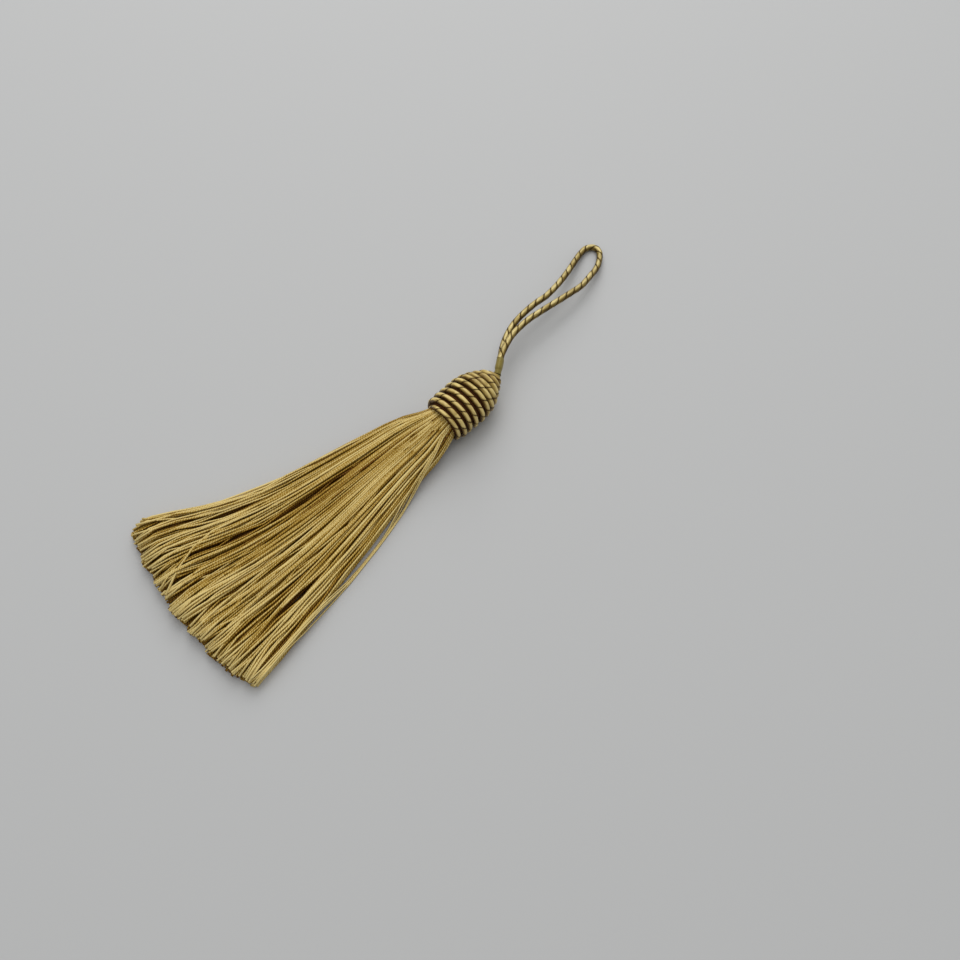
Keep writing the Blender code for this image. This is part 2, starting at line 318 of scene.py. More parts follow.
def binding_path(path, lengths, side, rise, radius, pitch, start):
    """The helix that a binding thread follows in its groove, and the cord's middle beside it: it
    turns once round the cord each pitch, from the start, a share of a turn."""
    wanted = np.arange(0, lengths[-1], pitch / BINDING_STEPS)
    turn = -2 * math.pi * (wanted / pitch - start)
    middle, across, upward = (at_lengths(wanted, lengths, rows) for rows in (path, side, rise))
    radius = np.interp(wanted, lengths, np.broadcast_to(np.ravel(radius), len(lengths)))[:, None]
    out = np.cos(turn)[:, None] * across + np.sin(turn)[:, None] * upward
    return middle + radius * out, middle


def add_binding(name, path, side, rise, radius, pitch, thread_radius, threads=1):
    """Fine dark threads wound in the grooves of a bound cord, evenly spaced round it."""
    points, quads, ends, maps = [], [], [], []
    for number in range(threads):
        start = (0.5 + number) / threads
        thread, middle = binding_path(path, run_length(path), side, rise, radius, pitch, start)
        heading = unit(np.gradient(thread, axis=0))
        across = unit(np.cross(unit(thread - middle), heading))
        upward = np.cross(heading, across)
        grid = tube_grid(thread, across, upward, thread_radius, BINDING_SIDES)
        grid[..., 2] = np.maximum(grid[..., 2], 0)
        first = number * grid.shape[0] * BINDING_SIDES
        points.append(grid.reshape(-1, 3))
        quads.append(tube_faces(len(thread), BINDING_SIDES, first))
        ends += tube_ends(len(thread), BINDING_SIDES, first)
        maps.append(tube_map(run_length(thread), BINDING_SIDES, 2 * math.pi * thread_radius))
    points, quads, maps = (np.concatenate(parts) for parts in (points, quads, maps))
    return add_piece(name, points, quads, ends, maps, np.zeros(len(points)), dark_binding)


def silk(
    name, bright, middle, deep, roughness, streak, stretch, bump, twist=None,
    sheen=0.08, specular=0.28, metallic=0.0,
):
    """A silk finish on the piece's own map: noise drawn out along the filaments, of a streak's
    width, shifts the colour between the bright, the middle and the deep one and lifts the surface.
    A twisted yarn adds slanting ridges a twist apart. The value named shade on each point takes the
    colour from bright (0) to deep (1). It carries painted shade, where the silk lies against other
    silk, lies in a groove or turns away from the lamps, painted light at the skirt's cut end, and
    tones that differ by chance, so the middle and deep colours are the colours of that painted
    shade as well as of the darker tones."""
    material = bpy.data.materials.new(name)
    material.use_nodes = True
    nodes, links = material.node_tree.nodes, material.node_tree.links
    shader = nodes["Principled BSDF"]
    shader.inputs["Roughness"].default_value = roughness
    shader.inputs["Metallic"].default_value = metallic
    shader.inputs["Specular IOR Level"].default_value = specular
    shader.inputs["Sheen Weight"].default_value = sheen
    shader.inputs["Sheen Roughness"].default_value = 0.4
    shader.inputs["Sheen Tint"].default_value = (1.0, 0.88, 0.70, 1)
    place = nodes.new("ShaderNodeUVMap")
    place.uv_map = "weave"
    scale = nodes.new("ShaderNodeMapping")
    scale.inputs["Scale"].default_value = (1 / streak, 1 / (streak * stretch), 1)
    streaks = nodes.new("ShaderNodeTexNoise")
    streaks.inputs["Scale"].default_value = 1.0
    streaks.inputs["Detail"].default_value = 2.0
    links.new(place.outputs["UV"], scale.inputs["Vector"])
    links.new(scale.outputs["Vector"], streaks.inputs["Vector"])
    height = streaks.outputs["Fac"]
    if twist:
        slant = nodes.new("ShaderNodeMapping")
        slant.inputs["Rotation"].default_value = (0, 0, TWIST_SLANT)
        ridges = nodes.new("ShaderNodeTexWave")
        # At a scale of 1 the ridges of this texture lie pi / 10 apart.
        ridges.inputs["Scale"].default_value = math.pi / 10 / twist
        ridges.inputs["Distortion"].default_value = 4.0
        ridges.inputs["Detail"].default_value = 1.0
        blend = nodes.new("ShaderNodeMix")
        blend.inputs["Factor"].default_value = TWIST_SHARE
        links.new(place.outputs["UV"], slant.inputs["Vector"])
        links.new(slant.outputs["Vector"], ridges.inputs["Vector"])
        links.new(height, blend.inputs["A"])
        links.new(ridges.outputs["Fac"], blend.inputs["B"])
        height = blend.outputs["Result"]
    carried = nodes.new("ShaderNodeAttribute")
    carried.attribute_name = "shade"
    spread = nodes.new("ShaderNodeMapRange")
    spread.inputs["From Min"].default_value = STREAK_NOISE[0]
    spread.inputs["From Max"].default_value = STREAK_NOISE[1]
    spread.inputs["To Min"].default_value = STREAK_SHIFT
    spread.inputs["To Max"].default_value = -STREAK_SHIFT
    total = nodes.new("ShaderNodeMath")
    total.operation = "ADD"
    total.use_clamp = True
    colour = nodes.new("ShaderNodeValToRGB")
    colour.color_ramp.elements[0].color = (*bright, 1)
    colour.color_ramp.elements[1].color = (*deep, 1)
    colour.color_ramp.elements.new(0.5).color = (*middle, 1)
    lift = nodes.new("ShaderNodeBump")
    lift.inputs["Strength"].default_value = bump
    lift.inputs["Distance"].default_value = STREAK_LIFT
    links.new(height, spread.inputs["Value"])
    links.new(spread.outputs["Result"], total.inputs[0])
    links.new(carried.outputs["Fac"], total.inputs[1])
    links.new(total.outputs["Value"], colour.inputs["Fac"])
    links.new(colour.outputs["Color"], shader.inputs["Base Color"])
    links.new(height, lift.inputs["Height"])
    links.new(lift.outputs["Normal"], shader.inputs["Normal"])
    return material


loop_satin = silk(
    "loop_satin",
    bright=(0.60, 0.488, 0.21),
    middle=(0.27, 0.185, 0.040),
    deep=(0.075, 0.042, 0.005),
    roughness=0.42,
    streak=0.30 * MM,
    stretch=7,
    bump=0.6,
    metallic=0.3,
)
dark_binding = silk(
    "dark_binding",
    bright=(0.035, 0.017, 0.003),
    middle=(0.025, 0.012, 0.003),
    deep=(0.015, 0.007, 0.002),
    roughness=0.6,
    streak=0.15 * MM,
    stretch=3,
    bump=0.3,
    sheen=0.0,
    specular=0.1,
)

loop_path = along_curve(np.array(LOOP_ROUTE) * MM, CORD_RING_GAP)
hidden = np.arange(1, HIDDEN_RINGS + 1)[:, None]
before_start = loop_path[0] + (loop_path[0] - loop_path[1]) * hidden[::-1]
after_end = loop_path[-1] + (loop_path[-1] - loop_path[-2]) * hidden
cord_path = np.vstack([before_start, loop_path, after_end])
loop_length = run_length(cord_path)
_, loop_side, loop_rise = cross_directions(cord_path)
cord_radius = CORD_DIAMETER / 2
loop_radius = nipped_radius(
    loop_length, CORD_SIDES, cord_radius, BINDING_PITCH, NIP_DEPTH, NIP_WIDTH, BINDING_THREADS
)
loop_grid = tube_grid(cord_path, loop_side, loop_rise, loop_radius, CORD_SIDES)
loop_grid[..., 2] = np.maximum(loop_grid[..., 2], 0)

# Painted shade: the satin is painted darker where it turns away from the lamps.
lamp_facing = ring_directions(loop_side, loop_rise, CORD_SIDES) @ TOWARDS_LAMPS
loop_flank_shade = np.clip(FLANK_START - FLANK_RISE * lamp_facing, 0, FLANK_MOST)
loop_flank_shade = loop_flank_shade * np.clip(1 + BACK_FALL * lamp_facing, BACK_LEAST, 1)
# Painted shade in the grooves where the binding nips the cord.
loop_groove_shade = GROOVE_SHADE * (cord_radius - loop_radius) / (cord_radius * NIP_DEPTH)
loop_tone = np.random.default_rng(6).uniform(*LOOP_TONES, LOOP_TONE_COUNT)
loop_nip = (loop_length / BINDING_PITCH * BINDING_THREADS).astype(int)
loop_shade = loop_groove_shade + loop_flank_shade + loop_tone[loop_nip][:, None]
loop_cord = add_tube(
    "loop_cord_satin",
    loop_grid,
    loop_length,
    math.pi * CORD_DIAMETER,
    np.clip(loop_shade, 0, 1),
    loop_satin,
)
loop_binding = add_binding(
    "loop_binding",
    cord_path,
    loop_side,
    loop_rise,
    cord_radius * (1 - NIP_DEPTH) + BINDING_PROUD * BINDING_RADIUS,
    BINDING_PITCH,
    BINDING_RADIUS,
    BINDING_THREADS,
)
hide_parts("loop_cord")

# ---- The sleeve --------------------------------------------------------------------------------
# A smooth wrap of fine olive silk that holds the loop's two legs together above the head. It
# narrows to a neck where they enter the head, and a fine dark thread is wound once round it there.

# The sleeve's rings: (the middle's x, y and z, half the width across, half the height), in mm.
SLEEVE_RINGS = (
    (9.6, -0.1, 6.2, 1.25, 1.25),
    (10.3, 0.05, 6.2, 1.02, 1.15),
    (10.8, 0.3, 6.3, 0.90, 1.25),
    (11.6, 0.8, 6.5, 0.88, 1.45),
    (12.0, 1.1, 6.6, 1.00, 1.65),
    (13.2, 1.9, 6.7, 1.02, 1.75),
    (14.1, 2.55, 6.8, 0.98, 1.75),
    (14.4, 2.8, 6.8, 0.80, 1.55),
    (14.45, 2.85, 6.8, 0.30, 0.80),
)
SLEEVE_RING_GAP = 0.06 * MM
SLEEVE_SIDES = 32
SLEEVE_GIRTH = 8 * MM
NECK_THREAD_RADIUS = 0.13 * MM
NECK_THREAD_PITCH = 1.10 * MM
NECK_THREAD_SIDES = 6
NECK_START = 0.55 * MM
NECK_TURNS = 1.0
NECK_RINGS = 90
NECK_AXIS = (0.96, 0.28, 0.05)

sleeve_wrap = silk(
    "sleeve_wrap",
    bright=(0.245, 0.188, 0.038),
    middle=(0.16, 0.120, 0.020),
    deep=(0.085, 0.058, 0.008),
    roughness=0.42,
    streak=1.6 * MM,
    stretch=0.1,
    bump=0.5,
)

sleeve_rings = along_curve(np.array(SLEEVE_RINGS) * MM, SLEEVE_RING_GAP)
sleeve_path = sleeve_rings[:, :3]
sleeve_length = run_length(sleeve_path)
_, sleeve_side, sleeve_rise = cross_directions(sleeve_path)
sleeve_turn = ring_turns(SLEEVE_SIDES)[None, :, None]
sleeve_wide, sleeve_high = sleeve_rings[:, 3, None, None], sleeve_rings[:, 4, None, None]
sleeve_grid = (
    sleeve_path[:, None]
    + sleeve_wide * np.cos(sleeve_turn) * sleeve_side[:, None]
    + sleeve_high * np.sin(sleeve_turn) * sleeve_rise[:, None]
)
sleeve = add_tube(
    "sleeve_wrap", sleeve_grid, sleeve_length, SLEEVE_GIRTH, 0, sleeve_wrap
)
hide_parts("loop_sleeve")

neck_turn = np.linspace(0, NECK_TURNS, NECK_RINGS)
neck_at = NECK_START + NECK_THREAD_PITCH * neck_turn
neck_angle = 2 * math.pi * neck_turn
neck_middle, neck_side, neck_rise = (
    at_lengths(neck_at, sleeve_length, rows) for rows in (sleeve_path, sleeve_side, sleeve_rise)
)
neck_wide, neck_high = at_lengths(neck_at, sleeve_length, sleeve_rings[:, 3:]).T
neck_path = (
    neck_middle
    + (neck_wide * np.cos(neck_angle))[:, None] * neck_side
    + (neck_high * np.sin(neck_angle))[:, None] * neck_rise
)
_, neck_across, neck_upward = cross_directions(neck_path, up=NECK_AXIS)
add_tube(
    "neck_threads",
    tube_grid(neck_path, neck_across, neck_upward, NECK_THREAD_RADIUS, NECK_THREAD_SIDES),
    run_length(neck_path),
    2 * math.pi * NECK_THREAD_RADIUS,
    0,
    dark_binding,
)

# ---- The wound head ----------------------------------------------------------------------------
# A bound satin cord like the loop's, 1.2 mm thick on the lower turns and 1.6 mm near the top, wound
# in eleven turns over a dark core. Each turn lies against the last, the widest ones are pressed
# flat on the table, and the last one closes in round the sleeve's neck.

# The head's outline over the crests: (distance along its axis, radius), in mm.
HEAD_PROFILE = (
    (0.0, 5.60),
    (1.9, 5.70),
    (2.9, 6.15),
    (4.3, 6.45),
    (6.0, 6.50),
    (11.3, 6.50),
    (13.75, 6.25),
    (16.1, 5.25),
    (18.45, 4.05),
    (19.85, 3.10),
    (20.85, 2.00),
)
WINDING_X = -11.35 * MM
WINDING_LENGTH = 20.85 * MM
MOUTH_X = -9.9 * MM
AXIS_HEIGHT = 6.2 * MM
PROFILE_STEPS = 600
PROFILE_SOFTENING = 30
# The winding is counted in turns. One turn more than TURNS covers the outline. The cord itself
# starts at FIRST_TURN, and it ends LAST_TURN past TURNS, so that it closes the top.
TURNS = 10
FIRST_TURN = 0.5
LAST_TURN = 1.4
WINDING_START = math.radians(-54)
CLOSING_STEP = 0.33 * MM
CLOSING_THINNING = 0.40 * MM
CLOSING_FROM = 0.6
MOUTH_TURNS = 1.6
MOUTH_THINNING = 0.13 * MM
NARROWS_FROM = 5.0
NARROWS_OVER = 4.0
TOP_SHIFT = 0.26 * MM
SHIFT_FROM = 3.5
SHIFT_OVER = 2
SLOPE_REACH = 0.05
TUCK_TURNS = 0.38
TUCK_EASE = 0.12
TUCK_DEPTH = 0.7 * MM
TUCK_ASIDE = 1.3
# The unevenness of the hand: how far it goes, and its waves in each turn. Two lie along the axis
# and one in depth.
HAND_WAVE = 0.10 * MM
SLOW_WAVES = 0.83
SLOW_START = 1.0
QUICK_WAVES = 2.37
QUICK_SHARE = 0.7
DEPTH_WAVES = 1.71
DEPTH_START = 2.0
DEPTH_SHARE = 0.6
HEAD_CORD_RADIUS = 0.62 * MM
TOP_CORD_RADIUS = 0.82 * MM
HEAD_CORD_SIDES = 16
HEAD_RING_GAP = 0.25 * MM
HEAD_PATH_STEPS = 12000
HEAD_BINDING_PITCH = 3.3 * MM
HEAD_BINDING_RADIUS = 0.10 * MM
HEAD_NIP = 0.12
HEAD_NIP_WIDTH = 0.22 * MM
# The binding thread's middle lies at this share of the cord's full radius.
HEAD_BINDING_SEAT = 0.90
# How dark the satin is painted: painted shade by how far it turns away from the lamps, which lie
# towards +X, darker near the top, where that painted shade is weaker, painted shade in a groove,
# darker at the mouth, and a tone that differs by chance from one nip to the next.
HEAD_LAMP_TURN = math.radians(76)
HEAD_FLANK_START = 1.2
HEAD_FLANK_RISE = 1.4
TOP_SHADE = 0.22
TOP_FLANK_LOSS = 0.45
HEAD_GROOVE_SHADE = 0.6
MOUTH_SHADE = 0.25
HEAD_TONES = (-0.16, 0.24)
HEAD_TONE_COUNT = 200
CORE_SIDES = 48
CORE_RINGS = 60
CORE_FIRST_TURN = 0.9
CORE_LAST_TURN = 0.95
CORE_DEPTH = 1.15 * MM
CORE_TIP_RADIUS = 0.35 * MM
CORE_LENGTH = 20 * MM
CORE_GIRTH = 30 * MM


def head_line(turn):
    """Where the head's surface is after a number of turns: the place along the axis and the radius
    over the crests, with the turns shared evenly along the surface. The upper turns are shifted a
    little up it. Past the outline's end each turn goes on by the same step, up and inwards."""
    turn = np.asarray(turn)
    station, radius = (np.array(column) * MM for column in zip(*HEAD_PROFILE))
    along = np.linspace(0, WINDING_LENGTH, PROFILE_STEPS)
    over = np.interp(along, station, radius)
    soft = np.hanning(2 * PROFILE_SOFTENING + 1)
    over = np.pad(over, PROFILE_SOFTENING, mode="edge")
    over = np.convolve(over, soft / soft.sum(), mode="valid")
    wound = np.append(0, np.cumsum(np.hypot(np.diff(along), np.diff(over))))
    covered = turn / (TURNS + 1) * wound[-1]
    slid = TOP_SHIFT * np.clip((turn - SHIFT_FROM) / SHIFT_OVER, 0, 1)
    slid = slid * np.clip((TURNS + 1 - turn) / SHIFT_OVER, 0, 1)
    past = np.clip(turn - TURNS - 1, 0, None) * CLOSING_STEP
    place = WINDING_X + slid + past + np.interp(covered, wound, along)
    return place, np.interp(covered, wound, over) - past


def near_top(turn):
    """A share that goes smoothly from 0 on the lower turns to 1 on the last ones."""
    share = np.clip((turn - NARROWS_FROM) / NARROWS_OVER, 0, 1)
    return share * share * (3 - 2 * share)


def at_mouth(turn):
    """A share that goes evenly from 1 on the first turn to 0 a little after it."""
    return np.clip(MOUTH_TURNS - turn, 0, 1)


def cord_radius_at(turn):
    """The cord's radius after a number of turns: it is drawn thin at the mouth and again where it
    closes the top, and lies flatter and wider where the head narrows."""
    closing = np.clip(turn - TURNS - CLOSING_FROM, 0, 1)
    drawn = MOUTH_THINNING * at_mouth(turn) + CLOSING_THINNING * closing
    return HEAD_CORD_RADIUS + (TOP_CORD_RADIUS - HEAD_CORD_RADIUS) * near_top(turn) - drawn


def winding_path(turn):
    """The middle of the head's cord, and the way out from it: a helix whose turns lie one cord
    radius under the head's surface, laid by hand, so that slow waves shift it a little. Its start
    is tucked in under the second turn."""
    place, radius = head_line(turn)
    whole = 2 * math.pi
    slow = np.sin(whole * SLOW_WAVES * turn + SLOW_START)
    quick = np.sin(whole * QUICK_WAVES * turn)
    place = place + HAND_WAVE * (slow + QUICK_SHARE * quick)
    deep = np.sin(whole * DEPTH_WAVES * turn + DEPTH_START)
    radius = radius + DEPTH_SHARE * HAND_WAVE * deep
    before, after = head_line(turn - SLOPE_REACH), head_line(turn + SLOPE_REACH)
    slope = unit(np.stack([after[0] - before[0], after[1] - before[1]], axis=-1))
    angle = WINDING_START + whole * (turn - FIRST_TURN)
    tucked = np.clip((FIRST_TURN + TUCK_TURNS - turn) / TUCK_EASE, 0, 1)
    radius = radius - TUCK_DEPTH * tucked
    place = place + TUCK_ASIDE * TUCK_DEPTH * tucked
    flat, steep = slope[..., 0], slope[..., 1]
    outward = np.stack([-steep, flat * np.cos(angle), flat * np.sin(angle)], axis=-1)
    height = AXIS_HEIGHT + radius * np.sin(angle)
    crest = np.stack([place, radius * np.cos(angle), height], axis=-1)
    return crest - cord_radius_at(turn)[..., None] * outward, outward


head_gold = silk(
    "head_gold",
    bright=(0.74, 0.575, 0.215),
    middle=(0.37, 0.255, 0.065),
    deep=(0.100, 0.045, 0.006),
    roughness=0.38,
    streak=0.40 * MM,
    stretch=5,
    bump=0.9,
)
# The core's dark brown is guessed from the dark gaps between the turns, so it is partly painted
# shade: it stands in for the shade down in those gaps.
core_brown = silk(
    "core_brown",
    bright=(0.070, 0.024, 0.007),
    middle=(0.050, 0.017, 0.005),
    deep=(0.030, 0.010, 0.003),
    roughness=0.7,
    streak=0.5 * MM,
    stretch=2,
    bump=0.2,
    sheen=0.03,
    specular=0.03,
)

fine_turns = np.linspace(FIRST_TURN, TURNS + LAST_TURN, HEAD_PATH_STEPS)
fine_path, _ = winding_path(fine_turns)
fine_length = run_length(fine_path)
ring_count = round(fine_length[-1] / HEAD_RING_GAP)
head_turns = np.interp(np.linspace(0, fine_length[-1], ring_count), fine_length, fine_turns)
head_path, head_out = winding_path(head_turns)
head_length = run_length(head_path)
head_heading = unit(np.gradient(head_path, axis=0))
head_side = unit(np.cross(head_out, head_heading))
head_rise = np.cross(head_heading, head_side)
head_full = cord_radius_at(head_turns)[:, None]
head_radius = nipped_radius(
    head_length, HEAD_CORD_SIDES, head_full, HEAD_BINDING_PITCH, HEAD_NIP, HEAD_NIP_WIDTH
)
head_grid = tube_grid(head_path, head_side, head_rise, head_radius, HEAD_CORD_SIDES)
head_grid[..., 0] = np.maximum(head_grid[..., 0], MOUTH_X)
head_grid[..., 2] = np.maximum(head_grid[..., 2], 0)

# Painted shade: the cord is painted darker on the flank turned away from the lamps.
lamp_facing = np.cos(ring_turns(HEAD_CORD_SIDES) - HEAD_LAMP_TURN)
head_flank_shade = np.clip(HEAD_FLANK_START - HEAD_FLANK_RISE * lamp_facing, 0, 1)
top = near_top(head_turns)[:, None]
head_tone = np.random.default_rng(4).uniform(*HEAD_TONES, HEAD_TONE_COUNT)
head_nip = np.floor(head_length / HEAD_BINDING_PITCH).astype(int)
head_shade = head_flank_shade + top * TOP_SHADE - TOP_FLANK_LOSS * head_flank_shade * top
# Painted shade in the grooves where the binding nips the cord.
head_shade = head_shade + HEAD_GROOVE_SHADE * (1 - head_radius / head_full) / HEAD_NIP
head_shade = head_shade + MOUTH_SHADE * at_mouth(head_turns)[:, None]
head_shade = head_shade + head_tone[head_nip][:, None]
head = add_tube(
    "head_cord",
    head_grid,
    head_length,
    2 * math.pi * HEAD_CORD_RADIUS,
    np.clip(head_shade, 0, 1),
    head_gold,
)
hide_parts("head_winding")
add_binding(
    "head_binding",
    head_path,
    head_side,
    head_rise,
    HEAD_BINDING_SEAT * head_full,
    HEAD_BINDING_PITCH,
    HEAD_BINDING_RADIUS,
)

core_turns = np.linspace(CORE_FIRST_TURN, TURNS + CORE_LAST_TURN, CORE_RINGS)
core_place, core_radius = head_line(core_turns)
core_radius = core_radius - CORE_DEPTH
core_radius[-1] = CORE_TIP_RADIUS
core_turn = ring_turns(CORE_SIDES)
core_x = np.broadcast_to(core_place[:, None], (CORE_RINGS, CORE_SIDES))
core_y = core_radius[:, None] * np.cos(core_turn)
core_z = AXIS_HEIGHT + core_radius[:, None] * np.sin(core_turn)
add_tube(
    "head_core",
    np.stack([core_x, core_y, core_z], axis=-1),
    np.linspace(0, CORE_LENGTH, CORE_RINGS),
    CORE_GIRTH,
    0,
    core_brown,
)

# ---- The skirt ---------------------------------------------------------------------------------
# Loose threads of twisted gold silk, bound into the head's mouth, combed out into a fan and cut
# level. They lie on each other in a few layers, drawn into bundles with gaps between, where the
# lower strands lie in shade and are painted darker as well.

# The strands' sizes are in mm until they are made into a mesh, apart from those of their map.
STRANDS = 420
STRAND_SIDES = 4
STRAND_GIRTH = 1.7 * MM
STRAND_MAP_SHIFT = 0.5
BUNDLE_RADIUS = 4.15
FAN_X = -9.0
TUCKED_ROOT_X = -8.2
ROOT_LENGTH = 0.2
SKIRT_LENGTH = 78.4
STRAND_STATIONS = (
    0.2, 3.5, 8, 13, 18, 23.5, 29, 34.5, 40, 45.5, 51, 56.5, 62, 67.5, 73, 78.4,
)
# The fan: (length, edge on +Y, edge on -Y, underside, thickness, spacing, strand radius).
FAN = (
    (0.2, 4.1, -4.6, 1.7, 8.6, 0.37, 0.210),
    (5.0, 7.9, -6.0, 0.5, 7.0, 0.41, 0.240),
    (10.0, 10.05, -6.3, 0.1, 5.6, 0.44, 0.260),
    (16.0, 11.55, -6.8, 0.0, 4.6, 0.46, 0.275),
    (24.0, 13.6, -8.4, 0.0, 3.9, 0.48, 0.280),
    (34.0, 16.15, -10.6, 0.0, 3.3, 0.49, 0.285),
    (45.0, 19.1, -12.8, 0.0, 2.9, 0.50, 0.290),
    (56.0, 23.0, -14.5, 0.0, 2.6, 0.50, 0.290),
    (62.0, 26.3, -15.8, 0.0, 2.5, 0.51, 0.295),
    (70.0, 30.8, -17.3, 0.0, 2.4, 0.51, 0.300),
    (74.0, 32.25, -17.8, 0.0, 2.3, 0.51, 0.300),
    (78.4, 32.45, -18.2, 0.0, 2.3, 0.51, 0.300),
)
# Where the upper strands part: (length, reach along, share of the width, half of the gap).
PARTINGS = (
    (9.0, 2.5, 0.12, 0.35),
    (13.5, 2.5, 0.42, 0.40),
    (17.0, 3.0, 0.22, 0.40),
    (25.5, 5.0, 0.70, 0.55),
    (27.0, 4.0, 0.20, 0.40),
    (31.0, 3.0, 0.28, 0.60),
    (38.0, 5.0, 0.80, 0.50),
    (38.0, 3.5, 0.675, 0.60),
    (43.5, 4.5, 0.445, 0.55),
    (42.0, 4.0, 0.24, 0.45),
    (48.0, 4.5, 0.74, 0.80),
    (50.0, 4.0, 0.57, 0.50),
    (52.0, 5.5, 0.80, 0.50),
    (51.0, 3.5, 0.13, 0.75),
    (52.0, 4.0, 0.25, 0.45),
    (54.0, 2.5, 0.47, 0.40),
    (58.5, 3.5, 0.72, 0.60),
    (59.0, 3.5, 0.585, 0.50),
    (60.0, 3.0, 0.10, 0.50),
    (61.0, 2.5, 0.33, 0.40),
    (62.5, 3.5, 0.66, 0.50),
    (64.0, 3.0, 0.725, 0.50),
    (65.0, 3.0, 0.17, 0.50),
    (65.5, 4.5, 0.62, 0.60),
    (67.5, 3.0, 0.70, 0.60),
    (70.5, 3.5, 0.60, 0.50),
    (71.0, 3.0, 0.64, 0.55),
    (71.0, 5.5, 0.305, 0.85),
    (71.5, 3.0, 0.20, 0.50),
)
PARTING_PULL = 1.6
PARTING_EDGE = 0.004
PARTING_FADE = 0.045
# How the strands are laid: they are wholly in the fan's order at the opened length. The lowest ones
# stay nearly where they are put, and a few of the upper ones stray boldly.
SETTLE_STEP = 1.5
SETTLE_ROUNDS = 20
PUSH = 0.42
FAR_OFF = 1000
NEAR_LENGTH = 12
NEAR_PULL = 0.75
FAR_PULL = 0.55
OPENED_LENGTH = 26.0
EDGE_SHARE = 0.004
CROWN_RISE = 1.0
EDGE_DROP = 1.3
LOOSE_LEAST = 0.15
LOOSE_FROM = 0.25
LOOSE_OVER = 0.35
BOLD_SHARE = 0.15
BOLD_TIMES = 4
WANDER = 0.013
WANDER_POWER = 1.3
SWAY = 0.0095
SWAY_WAVES = (1.3, 2.4, 3.8)
# The slow waves that draw strands into bundles: how many, the waves across the fan, how far their
# crests wander along it, how steep they are, and the length over which they grow.
BUNDLE_WAVES = 18
WAVES_ACROSS = (5, 36)
WAVES_ALONG = (-6, 6)
STEEPNESS = (0.12, 0.30)
WAVE_GROWTH = 15.0
# Single strands that lie on top and cross the others: where across the fan each starts, how far
# aside it goes and after which length, and how near the edges it may come.
STRAYS = 56
STRAY_RADIUS = 0.27
STRAY_STARTS = (0.06, 0.92)
STRAY_STEPS = (0.01, 0.08)
STRAY_BENDS = (5, 45)
STRAY_POWER = 1.4
STRAY_LIMITS = (0.03, 0.93)
STRAY_ROOT = 0.9
STRAY_FREE = 8
SKIN_REACH = 0.6
SKIN_RISE = 0.55
FAR_BELOW = -100
# More of them, each as its share of the fan's width at these lengths. The last four run beside the
# -Y edge, a little clear of it.
STRAY_LENGTHS = (0, 8, 16, 24, 34, 45, 56, 61, 66, 72, 78.4)
STRAY_RUNS = (
    (0.80, 0.80, 0.80, 0.80, 0.80, 0.80, 0.81, 0.81, 0.755, 0.680, 0.600),
    (0.74, 0.74, 0.75, 0.75, 0.76, 0.77, 0.79, 0.785, 0.748, 0.692, 0.640),
    (0.50, 0.50, 0.51, 0.52, 0.52, 0.52, 0.53, 0.540, 0.556, 0.595, 0.620),
    (0.12, 0.06, -0.020, -0.044, -0.042, -0.026, -0.012, 0.000, 0.005, 0.004, 0.004),
    (0.10, 0.04, -0.030, -0.054, -0.050, -0.032, -0.004, 0.008, 0.012, 0.012, 0.016),
    (0.14, 0.07, -0.004, -0.030, -0.034, -0.018, 0.002, 0.010, 0.020, 0.024, 0.030),
    (0.16, 0.08, 0.004, -0.014, -0.044, -0.038, -0.020, -0.010, -0.004, 0.010, 0.010),
)
EDGE_STRAYS = 4
EDGE_STRAY_RADIUS = 0.20
EVENED_REACH = 2
# How unlike the strands are: a station's shift as a share of the way to the next one, the radius as
# a share of the fan's, and the cut end's place.
STATION_SHIFT = (-0.3, 0.3)
RADIUS_SHARES = (0.88, 1.1)
END_SHIFT = (-0.9, 0.3)
END_WAVE = 0.22
END_WAVES = (9.0, 23.0)
END_WAVE_START = 1.0
MOST_LEAN = 0.9
# The cut end's corners: how much is missing at the +Y and the -Y one, how suddenly, and how far the
# strands just inside the +Y one reach out past the rest.
CORNER_CUTS = (2.4, 1.2)
CORNER_POWERS = (16, 3)
CORNER_REACH = 1.0
CORNER_PLACE = 0.97
CORNER_WIDTH = 0.05
# Patches of painted shade, as if the strands lay lower in the shade of the others, and of painted
# light where the value is negative, as if they lay higher in the light: (length, reach along, share
# of the width, reach across, how much darker).
SHADE_PATCHES = (
    (34.0, 22.0, 0.64, 0.085, 0.48),
    (56.0, 8.0, 0.73, 0.050, 0.10),
    (16.0, 13.0, 0.53, 0.110, 0.30),
    (60.0, 18.0, 0.55, 0.040, 0.26),
    (44.0, 13.0, 0.20, 0.070, 0.22),
    (32.0, 14.0, 0.855, 0.040, 0.36),
    (70.0, 7.0, 0.16, 0.040, 0.14),
    (73.0, 4.0, 0.84, 0.030, 0.22),
    (36.0, 13.0, 0.49, 0.055, 0.24),
    (20.0, 10.0, 0.355, 0.045, -0.12),
    (71.0, 7.0, 0.35, 0.030, 0.18),
    (67.0, 9.0, 0.70, 0.060, 0.12),
    (66.0, 12.0, 0.45, 0.050, -0.24),
    (62.0, 7.0, 0.25, 0.035, -0.16),
    (55.0, 24.0, 0.97, 0.060, -0.36),
    (73.0, 9.0, 0.03, 0.050, -0.30),
    (57.0, 7.0, 0.08, 0.050, -0.20),
)
